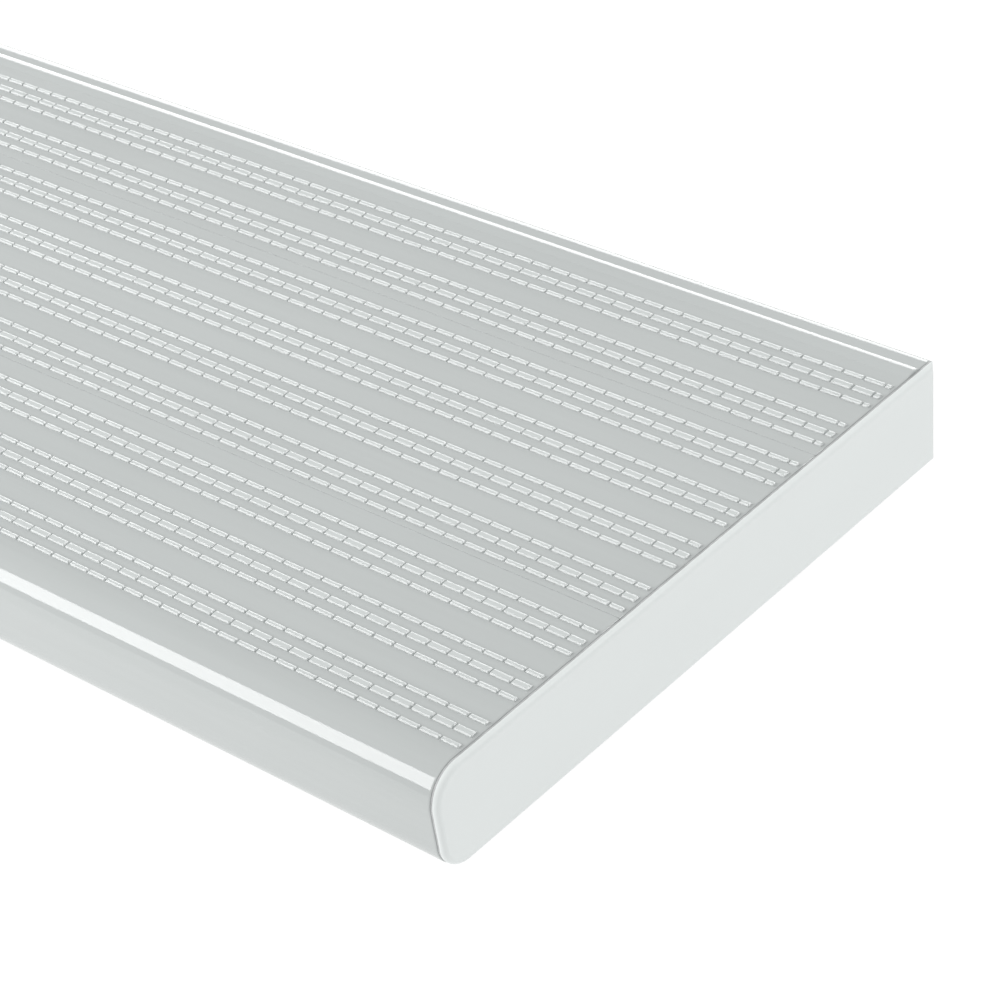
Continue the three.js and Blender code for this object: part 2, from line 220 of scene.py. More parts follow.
def coat_material():
    """Light grey coat: glossy, faintly wavy, rubbed along the board, and painted brighter on the tops of the
    ribs as a painted highlight.
    """
    n = Nodes("deck_coat")
    clouds = n.noise(n.stretched(3, 9, 9), 1.0)
    rubbing = n.noise(n.stretched(6, 260, 260), 1.0, 2.0)
    grain = n.noise(n.coord, 900.0, 2.0)
    colour = n.ramp(clouds, tinted(COAT, [(0.3, 0.985), (0.7, 1.015)]))
    colour = n.mix(colour, n.ramp(rubbing, [(0.35, (0.985,)), (0.65, (1.0,))]), 1.0)
    height = n.add("ShaderNodeSeparateXYZ")
    n.link(n.coord, height.inputs[0])
    # Painted highlight and shade: the coat's colour is full on the rib tops and 15% darker everywhere lower,
    # standing in for the light the rib crowns catch.
    rib_top_painted_highlight = n.spread(height.outputs["Z"], 0.0, 1.0, (TOP + 1.15) * MM, (TOP + 1.45) * MM)
    colour = n.mix(colour, n.ramp(rib_top_painted_highlight, [(0.0, (0.85,)), (1.0, (1.0,))]), 1.0)
    rough = n.spread(rubbing, 0.06, 0.09)
    waves = n.bump(n.noise(n.coord, 260.0, 1.0), 0.00002, 0.12)
    return n.finish(colour, rough, n.bump(grain, 0.00001, 0.15, waves), IOR=1.5)


def cap_material():
    """Moulded plastic, lighter than the coat, with a fine satin texture and faint flow marks."""
    n = Nodes("cap_moulding")
    flow = n.noise(n.stretched(4, 5, 14), 1.0, 3.0)
    spark = n.noise(n.coord, 1800.0, 2.0)
    colour = n.ramp(flow, tinted(CAP, [(0.3, 0.99), (0.7, 1.01)]))
    rough = n.spread(flow, 0.36, 0.44)
    return n.finish(colour, rough, n.bump(spark, 0.00002, 0.25), IOR=1.5)


def seal_material():
    n = Nodes("seal_rubber")
    bloom = n.noise(n.coord, 90.0, 4.0)
    colour = n.ramp(bloom, tinted(SEAL_GREY, [(0.35, 0.85), (0.7, 1.15)]))
    return n.finish(colour, n.spread(bloom, 0.62, 0.8), n.bump(bloom, 0.00008, 0.3), IOR=1.45)


def pad_material():
    """Black rubber with chalky bloom and a moulded grain."""
    n = Nodes("pad_rubber")
    bloom = n.noise(n.coord, 14.0, 5.0)
    grain = n.noise(n.coord, 1400.0, 3.0)
    colour = n.ramp(bloom, [(0.35, (0.022, 0.022, 0.024)), (0.75, (0.062, 0.061, 0.06))])
    return n.finish(colour, n.spread(bloom, 0.6, 0.82), n.bump(grain, 0.00006, 0.5), IOR=1.5)


def bar_material():
    """Mill-finish aluminium bar: drawn grain across the board, dull patches and small scuffs."""
    n = Nodes("member_aluminium")
    grain = n.noise(n.stretched(900, 7, 900), 1.0, 3.0)
    patches = n.noise(n.coord, 22.0, 4.0)
    colour = n.ramp(patches, [(0.3, (0.60, 0.61, 0.62)), (0.7, (0.72, 0.73, 0.735))])
    colour = n.mix(colour, n.ramp(grain, [(0.35, (0.9,)), (0.65, (1.0,))]), 1.0)
    rough = n.spread(patches, 0.3, 0.46)
    return n.finish(colour, rough, n.bump(grain, 0.00004, 0.35), Metallic=1.0)


def steel_material():
    """Turned stainless steel: rings from the tool, a few darker smears."""
    n = Nodes("stainless")
    rings = n.noise(n.stretched(60, 60, 2600), 1.0, 2.0)
    smears = n.noise(n.coord, 160.0, 3.0)
    colour = n.ramp(smears, [(0.3, (0.5, 0.51, 0.52)), (0.7, (0.64, 0.645, 0.65))])
    return n.finish(colour, n.spread(rings, 0.2, 0.36), n.bump(rings, 0.00003, 0.3), Metallic=1.0)


COAT = (0.598, 0.628, 0.621)
CAP = (0.79, 0.826, 0.818)
SEAL_GREY = (0.5, 0.51, 0.51)
MATERIALS = {
    "deck_coat": coat_material(),
    "cap_moulding": cap_material(),
    "seal_rubber": seal_material(),
    "pad_rubber": pad_material(),
    "member_aluminium": bar_material(),
    "stainless": steel_material(),
}

# ------------------------------------------------------------------ pieces from meshes


class Sheet:
    """A closed mesh being put together, in millimetres."""

    def __init__(self):
        self.points = []
        self.faces = []

    def ring(self, places):
        start = len(self.points)
        self.points += [(x * MM, y * MM, z * MM) for x, y, z in places]
        return list(range(start, len(self.points)))

    def wall(self, a, b):
        """Quads between two closed rings."""
        for i in range(len(a)):
            self.faces.append((a[i - 1], a[i], b[i], b[i - 1]))

    def flat(self, outer, holes=()):
        """A flat face. One with holes is filled with triangles, and those inside the holes are left out."""
        if not holes:
            self.faces.append(tuple(outer))
            return
        index, edges = [], []
        for ring in (outer, *holes):
            edges += [(len(index) + i, len(index) + (i + 1) % len(ring)) for i in range(len(ring))]
            index += ring
        places = [Vector(self.points[i]) / MM for i in index]
        spans = [max(p[k] for p in places) - min(p[k] for p in places) for k in range(3)]
        across = [k for k in range(3) if k != spans.index(min(spans))]
        level = [Vector([p[k] for k in across]) for p in places]
        found = delaunay_2d_cdt(level, edges, [], 1, 1e-6)
        borders = [(level[a], level[b]) for a, b in edges]
        for triangle in found[2]:
            corners = [found[3][i][0] for i in triangle]
            if crossings(sum((level[i] for i in corners), Vector((0, 0))) / 3, borders) % 2:
                self.faces.append(tuple(index[i] for i in corners))

    def upright(self, x, y, profile, sides):
        """Rings round an upright line, one for each (radius, height), with walls between them."""
        rings = [self.ring(circle(x, y, radius, z, sides)) for radius, z in profile]
        for a, b in zip(rings, rings[1:]):
            self.wall(a, b)
        return rings

    def piece(self, node, slot, smooth=50):
        """Makes the object that stands for a CAD node."""
        mesh = bpy.data.meshes.new(node + "_mesh")
        mesh.from_pydata(self.points, [], self.faces)
        shape = bmesh.new()
        shape.from_mesh(mesh)
        bmesh.ops.recalc_face_normals(shape, faces=shape.faces)
        if shape.calc_volume(signed=True) < 0:
            bmesh.ops.reverse_faces(shape, faces=shape.faces)
        shape.to_mesh(mesh)
        shape.free()
        mesh.polygons.foreach_set("use_smooth", [True] * len(mesh.polygons))
        mesh.set_sharp_from_angle(angle=math.radians(smooth))
        mesh.materials.append(MATERIALS[slot])
        obj = bpy.data.objects.new(node + "_detail", mesh)
        scene.collection.objects.link(obj)
        weighted = obj.modifiers.new("weighted", "WEIGHTED_NORMAL")
        weighted.keep_sharp = True
        weighted.weight = 80
        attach(obj, "root")
        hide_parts(node)
        return obj


def crossings(at, borders):
    """How many borders a ray from a place meets: an odd number for a place inside them."""
    level = [(a, b) for a, b in borders if (a.y > at.y) != (b.y > at.y)]
    return sum(at.x < a.x + (b.x - a.x) * (at.y - a.y) / (b.y - a.y) for a, b in level)


def circle(x, y, radius, z, sides):
    turns = [2 * math.pi * i / sides for i in range(sides)]
    return [(x + radius * math.cos(t), y + radius * math.sin(t), z) for t in turns]


Corner = namedtuple("Corner", "y z radius steps on_rib", defaults=(0, 4, False))


def rounded(corners):
    """A closed outline of corners, given as Corner or as its values, with each radius turned into points."""
    corners = [Corner(*c) for c in corners]
    out = []
    for i, corner in enumerate(corners):
        if not corner.radius:
            out.append(corner)
            continue
        here = Vector((corner.y, corner.z))
        before = (Vector(corners[i - 1][:2]) - here).normalized()
        after = (Vector(corners[(i + 1) % len(corners)][:2]) - here).normalized()
        half = before.angle(after) / 2
        middle = here + (before + after).normalized() * (corner.radius / math.sin(half))
        reach = corner.radius / math.tan(half)
        a, b = here + before * reach - middle, here + after * reach - middle
        start = math.atan2(a.y, a.x)
        turn = (math.atan2(b.y, b.x) - start + math.pi) % (2 * math.pi) - math.pi
        for s in range(corner.steps + 1):
            t = start + turn * s / corner.steps
            out.append(Corner(middle.x + corner.radius * math.cos(t), middle.y + corner.radius * math.sin(t)))
    return out


def inset(section, distance):
    """(y, z) of a closed outline's points, each moved into it."""
    pairs = list(zip(section, section[1:] + section[:1]))
    side = math.copysign(distance, sum(a.y * b.z - b.y * a.z for a, b in pairs))
    out = []
    for i, here in enumerate(section):
        before, after = section[i - 1], section[(i + 1) % len(section)]
        steps = [(here.y - before.y, here.z - before.z), (after.y - here.y, after.z - here.z)]
        inward = sum((Vector((-dz, dy)).normalized() for dy, dz in steps), Vector((0, 0)))
        inward *= side / max(inward.length_squared / 2, 0.4)
        out.append((here.y + inward.x, here.z + inward.y))
    return out


def arc(cy, cz, radius, start, end, steps):
    turns = [math.radians(start + (end - start) * i / steps) for i in range(steps + 1)]
    return [(cy + radius * math.cos(t), cz + radius * math.sin(t)) for t in turns]


# ------------------------------------------------------------------ section of the board


def rib(y, profile):
    """Corners of a rib, from its +Y side to its -Y side."""
    far = [(y + half, TOP + height, 0, 0, height > 0) for half, height in profile]
    near = [(y - half, TOP + height, 0, 0, height > 0) for half, height in reversed(profile)]
    return far + near


def ribs(last, first):
    """Corners of the ribs of groups last down to first, in the order of falling Y."""
    out = []
    for k in range(last, first - 1, -1):
        out += rib(RIB_Y[k] + RIB_OFFSET, OUTER_RIB)
        out += rib(RIB_Y[k], MIDDLE_RIB)
        out += rib(RIB_Y[k] - RIB_OFFSET, OUTER_RIB)
    return out


def leg(y):
    """Round a leg and its foot, from under the skin on its -Y side."""
    high, ankle = TOP - SKIN, BOTTOM + LEG
    near, far = y - LEG / 2, y + LEG / 2
    heel, toe = y - FOOT / 2, y + FOOT / 2
    return [
        (near, high, 1.5), (near, ankle, 1.5), (heel, ankle, 1), (heel, BOTTOM, 0.25),
        (toe, BOTTOM, 0.25), (toe, ankle, 1), (far, ankle, 1.5), (far, high, 1.5),
    ]


def grooved_edge(joint):
    """From under the skin down, round the foot and up past the groove to the deck."""
    e, low, high, z = joint - GAP, BOTTOM, TOP - SKIN, TONGUE_Z
    wall, groove, back = GROOVE_WALL, GROOVE_HALF, e - GROOVE_BACK
    leg_y, foot, seam = e - LEG, e - EDGE_FOOT, joint - SEAM
    return [
        (leg_y, high, 1.5), (leg_y, z + wall, 1), (back, z + wall, 1), (back, z - wall, 1),
        (leg_y, z - wall, 1), (leg_y, low + LEG, 1.5), (foot, low + LEG, 1), (foot, low, 0.5), (e, low, 0.5),
        (e, z - groove, 0.5), (e - GROOVE_REACH, z - groove, 0.5), (e - GROOVE_REACH, z + groove, 0.5),
        (e, z + groove, 0.5), (e, TOP - SEAM_LOW), (seam, TOP - SEAM_HIGH), (seam, TOP, SEAM_ROUND, 2),
    ]


def tongued_edge(joint):
    """From the deck down past the tongue, round the foot and up to under the skin."""
    e, low, high, z = joint + GAP, BOTTOM, TOP - SKIN, TONGUE_Z
    half, tip, foot = TONGUE_HALF, joint - TONGUE_REACH, joint + GAP + EDGE_FOOT
    return [
        (joint + SEAM, TOP, SEAM_ROUND, 2), (joint + SEAM, TOP - SEAM_HIGH), (e, TOP - SEAM_LOW),
        (e, z + half, 0.4), (tip, z + half, 0.6), (tip, z - half, 0.6), (e, z - half, 0.4), (e, low, 0.5),
        (foot, low, 0.5), (foot, low + LEG, 1), (e + LEG, low + LEG, 1.5), (e + LEG, high, 1.5),
    ]


def nose(inset):
    """The bullnose side, from the deck to the underside."""
    upper = arc(-SIDE + NOSE_TOP, TOP - NOSE_TOP, NOSE_TOP - inset, 90, 180, 24)
    lower = arc(-SIDE + NOSE_BOTTOM, BOTTOM + NOSE_BOTTOM, NOSE_BOTTOM - inset, 180, 270, 16)
    return upper + lower


def square_side(inset, side_inset, radius=SQUARE_ROUND):
    """The square side, from the underside to the deck."""
    y = SIDE - side_inset
    return [(y - SQUARE_LEAN, BOTTOM + inset, radius, 6), (y, TOP - inset, radius, 8)]


def board_outline(inset, side_inset):
    """The whole section, stood in by inset, and by side_inset at the square side."""
    return rounded([*nose(inset), *square_side(inset, side_inset, 1.0)])


# ------------------------------------------------------------------ the extrusions


def rise(height, part):
    """Height of a rib point over the deck in a cut (0), at its lip (1) or between cuts (2)."""
    return (min(height, CUT_LEVEL), min(height, LIP_LEVEL), height)[part]


def stations(y):
    """(x, part) along a rib point, from the butt end to the tip end."""
    first = END - CUT_FIRST - (y - GROUP_Y[0]) * CUT_SKEW
    ends = [(RIB_END - RIB_FACE, 0), (RIB_END, 1), (RIB_END + RIB_BEVEL, 2)]
    out = [(x - END, part) for x, part in ends]
    for k in reversed(range(CUTS)):
        x = first - k * CUT_PITCH
        out += [(x - CUT_BEVEL, 2), (x - CUT_LIP, 1), (x - CUT_FLOOR, 0)]
        out += [(x + CUT_FAR, 0), (x + CUT_WALL, 2)]
    return out + [(END - x, part) for x, part in reversed(ends)]


Hole = namedtuple("Hole", "x y z radius ring")


class Extrusion(Sheet):
    """A section run along the board, with cuts across its ribs, bevelled ends and upright holes."""

    def __init__(self, section, chamber=None):
        super().__init__()
        low, high = min(c.y for c in section), max(c.y for c in section)
        self.holes = [h for x, y, profile in HOLES if low < y < high for h in self.hole(x, y, profile)]
        self.corner_of = {}
        loops = [self.columns(section, 1)]
        if chamber:
            loops.append(self.columns(chamber, -1))
        for loop in loops:
            for a, b in zip(loop, loop[1:] + loop[:1]):
                self.strip(a, b)
        for end in (0, -1):
            rings = [[column[end] for column in loop] for loop in loops]
            self.flat(rings[0], rings[1:])

    def hole(self, x, y, profile):
        """A hole from one flat face to another, as the two rings that those faces go round."""
        rings = self.upright(x, y, profile, 32 if profile[0][0] == ANCHOR_HOLE else 20)
        radius = max(r for r, z in profile)
        return [Hole(x, y, profile[i][1], radius, rings[i]) for i in (0, -1)]

    def columns(self, section, side):
        """The vertices along the board of each corner of a section. side is -1 for a chamber."""
        pairs = list(zip(section, section[1:] + section[:1]))
        side *= math.copysign(1, sum(a.y * b.z - b.y * a.z for a, b in pairs))
        loop = []
        deck = [TOP if corner.on_rib else corner.z for corner in section]
        for i, here in enumerate(section):
            z, next_i = deck[i], (i + 1) % len(section)
            before, after = section[i - 1], section[next_i]
            steps = [(here.y - before.y, z - deck[i - 1]), (after.y - here.y, deck[next_i] - z)]
            outward = sum((Vector((dz, -dy)).normalized() * side for dy, dz in steps), Vector((0, 0)))
            outward /= max(outward.length_squared / 2, 0.4)
            outer = side > 0 and (z > TOP - 0.01 or abs(here.y) > SIDE - NOSE_TOP)
            seam = min(abs(here.y - joint) for joint in JOINTS) < 1  # too finely rounded for END_ROUND
            size = END_ROUND if outer and not seam else INNER_ROUND
            ends = [(END - x, here.y - outward.x * s * size, z - outward.y * s * size) for x, s in END_STEPS]
            column = [(-x, y, z) for x, y, z in ends]
            if here.on_rib:
                column += [(x, here.y, TOP + rise(here.z - TOP, part)) for x, part in stations(here.y)]
            loop.append(self.ring(column + ends[::-1]))
            self.corner_of[loop[-1][0]] = here
        return loop

    def strip(self, a, b):
        """Faces between two neighbouring columns."""
        ca, cb = self.corner_of[a[0]], self.corner_of[b[0]]
        low, high = sorted((ca.y, cb.y))
        holes = [h for h in self.holes if abs(ca.z - h.z) + abs(cb.z - h.z) < 0.01 and low < h.y < high]
        last = len(END_STEPS) - 1
        for i in (*range(last), *range(-last - 1, -1)):
            self.faces.append((a[i], a[i + 1], b[i + 1], b[i]))
        a, b = a[last : len(a) - last], b[last : len(b) - last]
        if len(a) != len(b):
            a, b = sorted((a, b), key=len)
            if ca.z != cb.z:  # the slope of a rib's foot, which starts after the rounded ends
                self.faces += [(a[0], b[0], b[1]), (a[-1], b[-1], b[-2])]
                b = b[1:-1]
            self.flat([*a, *b[::-1]], [h.ring for h in holes])
            return
        i = 0
        while i < len(a) - 1:
            j = i + 1
            found = [h for h in holes if self.meets(h, a, b, i)]
            while found and j < len(a) - 1 and any(self.meets(h, a, b, j) for h in found):
                found = [h for h in holes if h in found or self.meets(h, a, b, j)]
                j += 1
            self.flat([*a[i : j + 1], *b[i : j + 1][::-1]], [h.ring for h in found])
            i = j

    def meets(self, hole, a, b, i):
        """Does a hole come between stations i and i + 1 of two columns?"""
        low = min(self.points[c[i]][0] for c in (a, b)) / MM
        high = max(self.points[c[i + 1]][0] for c in (a, b)) / MM
        room = hole.radius + 0.2
        return low < hole.x + room and high > hole.x - room


MEMBERS = ["tip_batten", "mid_batten", "fulcrum_plate", "rear_batten", "anchor_plate"]
SLEEVES = ["anchor_sleeve_1", "anchor_sleeve_2"]
CAP_SCREWS = sorted(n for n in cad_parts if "cap_screw" in n)
MEMBER_SCREWS = sorted(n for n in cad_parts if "_screw_" in n and n not in CAP_SCREWS)


def place(node):
    low, high = span(node)
    return (low + high) / 2


def plank_holes():
    """(x, y, profile) of every hole in the extrusions. A profile is (radius, height) pairs."""
    out = []
    for node in MEMBER_SCREWS + CAP_SCREWS:
        at = place(node)
        top = BOTTOM + (WALL if abs(at.y) > WEB else LEG)
        if node in MEMBER_SCREWS:
            profile = [(MEMBER_MOUTH, BOTTOM), (MEMBER_HOLE, BOTTOM + 0.3), (MEMBER_HOLE, top)]
        else:
            mouth = [(CAP_MOUTH, BOTTOM), (CAP_SINK, BOTTOM + 0.15)]
            profile = [*mouth, (CAP_HOLE, BOTTOM + 2.1), (CAP_HOLE, top)]
        out.append((at.x, at.y, profile))
    for node in SLEEVES:
        at = place(node)
        for low, high in ((BOTTOM, BOTTOM + WALL), (TOP - WALL, TOP)):
            out.append((at.x, at.y, [(ANCHOR_HOLE, low), (ANCHOR_HOLE, high)]))
    return out


HOLES = plank_holes()

bullnose = rounded([
    *ribs(2, 0), *nose(0), (-WEB, BOTTOM, 0.5), (-WEB, TOP - SKIN, 1.5),
    *leg(LEG_A), *grooved_edge(JOINTS[0]),
])
bullnose_chamber = rounded([*nose(WALL), (-WEB - WALL, BOTTOM + WALL, 2), (-WEB - WALL, TOP - WALL, 2)])
Extrusion(bullnose, bullnose_chamber).piece("bullnose_plank", "deck_coat", PLANK_SMOOTH)

centre = rounded([
    *ribs(6, 3), *tongued_edge(JOINTS[0]), *[c for y in LEGS_B for c in leg(y)], *grooved_edge(JOINTS[1]),
])
Extrusion(centre).piece("centre_plank", "deck_coat", PLANK_SMOOTH)

bead_turn = math.degrees(math.asin(BEAD_HALF / BEAD_CURVE))
bead_arc = arc(BEAD_Y, TOP + BEAD_HEIGHT - BEAD_CURVE, BEAD_CURVE, 90 - bead_turn, 90 + bead_turn, 12)
bead = [(BEAD_Y + BEAD_FAR_FOOT, TOP), *bead_arc[:-2], (BEAD_Y - BEAD_NEAR_FOOT, TOP)]
far_edge = [(SIDE + (y - 1) * EDGE_ACROSS, TOP + (z - 1) * EDGE_DOWN) for y, z in arc(0, 0, 1, 0, 90, 16)]
square = rounded([
    square_side(0, 0)[0], *far_edge, *bead, *ribs(8, 7),
    *tongued_edge(JOINTS[1]), (WEB, TOP - SKIN, 1.5), (WEB, BOTTOM, 0.5),
])
square_chamber = rounded([
    (WEB + WALL, TOP - WALL, 2), (WEB + WALL, BOTTOM + WALL, 2),
    (SIDE - SQUARE_LEAN - WALL, BOTTOM + WALL, 2), (SIDE - WALL, TOP - WALL, 2),
])
Extrusion(square, square_chamber).piece("square_edge_plank", "deck_coat", PLANK_SMOOTH)

# ------------------------------------------------------------------ end caps and gaskets

CAP_INSET, CAP_PLATE, CAP_RIM, CAP_TAPER = 0.4, 4.0, 3.7, 1.3
SEAL_INSET, SEAL_BAND = 0.6, 2.5
LUG_LENGTH, LUG_CLEAR, LUG_ROUND, LUG_WEB = 30, 0.8, 0.8, 3.0
LUG_BASE = WALL + LUG_CLEAR  # from the outside of the board
LUG_HEIGHT, UPPER_LUG = 9.0, 3.0


def chambers():
    """The chambers that a cap's lugs go into, as spans of Y between their walls."""
    half = LEG / 2
    edge = JOINTS[0] + GAP + LEG
    return [
        (-SIDE + NOSE_TOP, -WEB - WALL), (-WEB, LEG_A - half), (edge, LEGS_B[0] - half),
        (LEGS_B[0] + half, LEGS_B[1] - half), (LEGS_B[1] + half, LEGS_B[2] - half),
        (WEB + WALL, SIDE - SQUARE_LEAN - WALL - 4),
    ]


def lug_sections():
    """Outlines of the lugs of a cap. In the edge boxes a web joins the upper and the lower lug."""
    z0, z3 = BOTTOM + LUG_BASE, TOP - LUG_BASE
    z1, z2 = z0 + LUG_HEIGHT, z3 - UPPER_LUG
    outlines = []
    for y0, y1 in chambers():
        y0, y1 = y0 + LUG_CLEAR, y1 - LUG_CLEAR
        web = [y for y in (LAND_Y[0], LAND_Y[7]) if y0 < y < y1]
        if web:
            w0, w1 = web[0] - LUG_WEB / 2, web[0] + LUG_WEB / 2
            near = [(y0, z3), (y0, z2), (w0, z2), (w0, z1), (y0, z1)]
            far = [(y0, z0), (y1, z0), (y1, z1), (w1, z1), (w1, z2), (y1, z2), (y1, z3)]
            outlines.append(far + near)
        else:
            outlines += [[(y0, a), (y1, a), (y1, b), (y0, b)] for a, b in ((z0, z1), (z2, z3))]
    return [rounded([(*corner, LUG_ROUND, 3) for corner in outline]) for outline in outlines]


def cap(node, side):
    """A moulded cap: a plate with a rounded rim, and lugs on its back that go into the chambers."""
    sheet = Sheet()
    turns = [math.radians(90 * i / 8) for i in range(9)]
    rim = [(TIP - CAP_PLATE, 0.25), (TIP - CAP_PLATE + 0.25, 0)]
    rim += [(TIP - CAP_RIM + CAP_RIM * math.sin(t), CAP_RIM * (1 - math.cos(t))) for t in turns]
    rings = []
    for x, s in rim:
        outline = board_outline(CAP_INSET + s, CAP_INSET + (x - TIP + CAP_PLATE) * CAP_TAPER)
        rings.append(sheet.ring([(side * x, c.y, c.z) for c in outline]))
    for a, b in zip(rings, rings[1:]):
        sheet.wall(a, b)
    sheet.flat(rings[-1])
    lugs = []
    screws = [place(n) for n in CAP_SCREWS if place(n).x * side > 0]
    for section in lug_sections():
        low = min(c.z for c in section)
        x0, x1 = TIP - CAP_PLATE, TIP - CAP_PLATE - LUG_LENGTH
        back, front = [sheet.ring([(side * x, c.y, c.z) for c in section]) for x in (x0, x1 + 0.4)]
        tip = sheet.ring([(side * x1, y, z) for y, z in inset(section, 0.4)])
        lower = low < BOTTOM + LUG_HEIGHT
        inside = [s for s in screws if lower and min(section).y < s.y < max(section).y]
        for i, corner in enumerate(section):
            quad = (back[i - 1], back[i], front[i], front[i - 1])
            level = corner.z - low + section[i - 1].z - low < 0.01
            profile = [(CAP_HOLE, low), (CAP_HOLE, BOTTOM + 12)]
            bores = [sheet.upright(s.x, s.y, profile, 16) for s in inside if level]
            sheet.flat(quad, [bore[0] for bore in bores])
            for bore in bores:
                sheet.flat(bore[-1])
        sheet.wall(front, tip)
        sheet.flat(tip)
        lugs.append(back)
    sheet.flat(rings[0], lugs)
    sheet.piece(node, "cap_moulding", 40)


def gasket(node):
    """A flat gasket whose edges bulge a little."""
    low, high = span(node)
    rings, sheet = [], Sheet()
    low.x, high.x = low.x - GAP + 0.02, high.x + GAP - 0.02
    shape = [(0, 0.2), (0.25, 0), (0.75, 0), (1, 0.2)]
    for x, s in shape:
        rings.append((low.x + (high.x - low.x) * x, SEAL_INSET + s))
    for x, s in reversed(shape):
        rings.append((low.x + (high.x - low.x) * x, SEAL_INSET + SEAL_BAND - s))
    rings = [sheet.ring([(x, c.y, c.z) for c in board_outline(s, s)]) for x, s in rings]
    for a, b in zip(rings, rings[1:] + rings[:1]):
        sheet.wall(a, b)
    sheet.piece(node, "seal_rubber")


cap("tip_cap", 1)
cap("butt_cap", -1)
gasket("tip_cap_seal")
gasket("butt_cap_seal")

# ------------------------------------------------------------------ cross members and pad


def bar(node, edge=0.6, corner=3.0):
    """A flat bar or plate with softened edges and its countersunk and bolt holes."""
    low, high = span(node)
    sheet = Sheet()

    def outline(inset, z):
        x0, x1, y0, y1 = low.x + inset, high.x - inset, low.y + inset, high.y - inset
        corners = rounded([(x, y, corner, 5) for x, y in ((x0, y0), (x1, y0), (x1, y1), (x0, y1))])
        return sheet.ring([(c.y, c.z, z) for c in corners])

    rings = [
        outline(edge, low.z), outline(edge * 0.3, low.z + edge * 0.3), outline(0, low.z + edge),
        outline(0, high.z - edge), outline(edge * 0.3, high.z - edge * 0.3), outline(edge, high.z),
    ]
    for a, b in zip(rings, rings[1:]):
        sheet.wall(a, b)
    bores = []
    for screw in MEMBER_SCREWS:
        if screw.startswith(node):
            at = place(screw)
            sink = [(5.95, low.z), (5.67, low.z + 0.15), (MEMBER_HOLE, low.z + 2.75)]
            bores.append(sheet.upright(at.x, at.y, [*sink, (MEMBER_HOLE, high.z)], 32))
    if node == "anchor_plate":
        for sleeve in SLEEVES:
            at = place(sleeve)
            profile = [(7.5, low.z), (7, low.z + 0.5), (7, high.z - 0.3), (7.3, high.z)]
            bores.append(sheet.upright(at.x, at.y, profile, 32))
    sheet.flat(rings[0], [b[0] for b in bores])
    sheet.flat(rings[-1], [b[-1] for b in bores])
    sheet.piece(node, "member_aluminium")


for member in MEMBERS:
    bar(member)


def pad():
    """A rubber pad with grooves across its underside, which grips the fulcrum."""
    low, high = span("fulcrum_pad")
    sheet = Sheet()
    pads, mouth, floor, depth = 25, 1.3, 0.9, 1.4
    pitch = (high.x - low.x) / pads
    lower = [(low.x, low.z)]
    for i in range(1, pads):
        x = low.x + i * pitch
        groove = [(-mouth, 0), (-floor, depth), (floor, depth), (mouth, 0)]
        lower += [(x + across, low.z + up) for across, up in groove]
    section = rounded([(*c, 0.35, 3) for c in [*lower, (high.x, low.z), (high.x, high.z), (low.x, high.z)]])
    rings = []
    edge = [(0, 0.35), (0.1, 0.1), (0.35, 0)]
    for y, s in [(low.y + d, s) for d, s in edge] + [(high.y - d, s) for d, s in reversed(edge)]:
        rings.append(sheet.ring([(x, y, z) for x, z in inset(section, s)]))
    for a, b in zip(rings, rings[1:]):
        sheet.wall(a, b)
    sheet.flat(rings[0])
    sheet.flat(rings[-1])
    sheet.piece("fulcrum_pad", "pad_rubber")


pad()

# ------------------------------------------------------------------ screws and sleeves


def hexagon(x, y, across, z, sides):
    """Points of a six-sided socket, as many as a circle of that many sides has."""
    out = []
    for i in range(sides):
        t = 2 * math.pi * i / sides
        radius = across / 2 / math.cos((t + math.pi / 6) % (math.pi / 3) - math.pi / 6)
        out.append((x + radius * math.cos(t), y + radius * math.sin(t), z))
    return out


def screw(node, size):
    """A countersunk socket screw with its thread, head down."""
    head, shank, head_height, socket = size
    low, high = span(node)
    at = (low + high) / 2
    sheet = Sheet()
    sides = 24
    floor = sheet.ring(hexagon(at.x, at.y, socket, low.z + socket * 0.45, sides))
    mouth = sheet.ring(hexagon(at.x, at.y, socket, low.z + 0.12, sides))
    under_head = low.z + head_height
    z = under_head + 0.3
    profile = [(socket * 0.66, low.z), (head - 0.25, low.z), (head, low.z + 0.2)]
    profile += [(shank + 0.25, under_head - 0.25), (shank - 0.35, z)]
    while z < high.z - 1.6:
        profile += [(shank, z + 0.4), (shank - 0.35, z + 0.8)]
        z += 0.8
    profile += [(shank - 0.5, high.z - 0.5), (shank - 0.9, high.z)]
    rings = [floor, mouth, *[sheet.ring(circle(at.x, at.y, r, h, sides)) for r, h in profile]]
    for a, b in zip(rings, rings[1:]):
        sheet.wall(a, b)
    sheet.flat(rings[0])
    sheet.flat(rings[-1])
    sheet.piece(node, "stainless", 35)


for node in MEMBER_SCREWS:
    screw(node, MEMBER_SCREW)
for node in CAP_SCREWS:
    screw(node, CAP_SCREW)


def sleeve(node):
    """A flanged tube for an anchor bolt, with its edges broken."""
    low, high = span(node)
    at = (low + high) / 2
    sheet = Sheet()
    step = high.z - 1.2
    profile = [
        (7.2, low.z), (8.1, low.z), (8.5, low.z + 0.4), (8.5, step), (8.85, step), (9.05, step + 0.2),
        (9.05, high.z - 0.45), (8.95, high.z - 0.13), (8.65, high.z), (7.3, high.z), (6.8, high.z - 0.5),
        (6.8, low.z + 0.4),
    ]
    rings = [sheet.ring(circle(at.x, at.y, r, z, 48)) for r, z in profile]
    for a, b in zip(rings, rings[1:] + rings[:1]):
        sheet.wall(a, b)
    sheet.piece(node, "stainless", 35)


for node in SLEEVES:
    sleeve(node)

# ------------------------------------------------------------------ floor and light

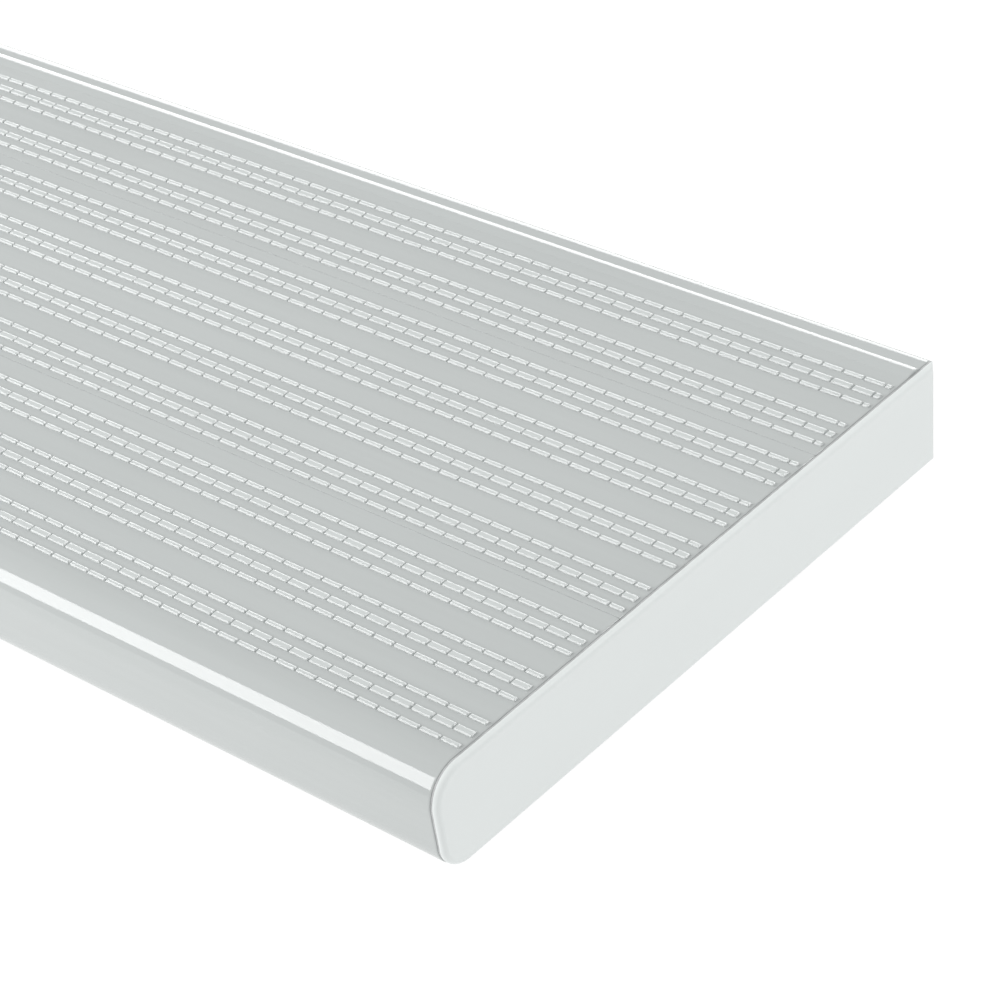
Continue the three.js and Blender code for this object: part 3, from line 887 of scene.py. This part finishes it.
floor_mesh = bpy.data.meshes.new("floor")
floor_corners = [(x * 30, y * 30, -0.0005) for x, y in ((-1, -1), (1, -1), (1, 1), (-1, 1))]
floor_mesh.from_pydata(floor_corners, [], [(0, 1, 2, 3)])
floor = bpy.data.objects.new("floor", floor_mesh)
scene.collection.objects.link(floor)
paint = Nodes("floor_paint")
mottle = paint.noise(paint.coord, 0.8, 3.0)
paint.shader.inputs["Emission Strength"].default_value = 0.95
paint.shader.inputs["Emission Color"].default_value = (1, 1, 1, 1)
floor_colour = paint.ramp(mottle, [(0.3, (0.1,)), (0.7, (0.11,))])
floor_bump = paint.bump(mottle, 0.001, 0.05)
floor_mesh.materials.append(paint.finish(floor_colour, paint.spread(mottle, 0.8, 0.9), floor_bump))

world = bpy.data.worlds.new("studio")
scene.world = world
world.use_nodes = True
sky = world.node_tree
background = sky.nodes["Background"]
direction = sky.nodes.new("ShaderNodeTexCoord").outputs["Generated"]
overhead = sky.nodes.new("ShaderNodeVectorMath")
overhead.operation = "DOT_PRODUCT"
overhead.inputs[1].default_value = (0, -0.3, 0.954)
sky.links.new(direction, overhead.inputs[0])
ramp = sky.nodes.new("ShaderNodeValToRGB")
for i, (at, shade) in enumerate([(0.0, 0.42), (0.6, 0.42), (0.8, 0.44), (1.0, 1.1)]):
    point = ramp.color_ramp.elements[i] if i < 2 else ramp.color_ramp.elements.new(at)
    point.position = at
    point.color = (shade,) * 3 + (1,)
fraction = sky.nodes.new("ShaderNodeMapRange")
fraction.inputs["From Min"].default_value = -1.0
sky.links.new(overhead.outputs["Value"], fraction.inputs["Value"])
sky.links.new(fraction.outputs["Result"], ramp.inputs["Fac"])
sky.links.new(ramp.outputs["Color"], background.inputs["Color"])
background.inputs["Strength"].default_value = 1.0


def softbox(name, at, aim, along, width, height, radiance):
    """A rectangular light of the given radiance, placed from a point near the tip. Its back faces aim."""
    data = bpy.data.lights.new(name, "AREA")
    data.shape = "RECTANGLE"
    data.size, data.size_y = width, height
    data.energy = radiance * width * height * math.pi
    light = bpy.data.objects.new(name, data)
    aim = Vector(aim).normalized()
    side = (Vector(along) - aim * aim.dot(along)).normalized()
    light.rotation_mode = "QUATERNION"
    light.rotation_quaternion = Matrix((side, aim.cross(side), aim)).transposed().to_quaternion()
    light.location = Vector((0.9, 0, 0.05)) + Vector(at)
    scene.collection.objects.link(light)


softbox("softbox_near", (-2.9, -2.674, 1.813), (0, -0.806, 0.592), (1, 0, 0), 2.8, 1.92, 7.2)
softbox("softbox_tip", (2.2, 2.2, 3.0), (2.2, 2.2, 3.0), (-0.7, 0.7, 0), 1.6, 1.6, 6.0)
softbox("softbox_far", (-4.6, 5.4, 1.86), (-4.6, 5.4, 1.86), (0.76, 0.65, 0), 5.5, 2.4, 3.8)

scene.view_settings.view_transform = "Standard"
scene.view_settings.look = "None"
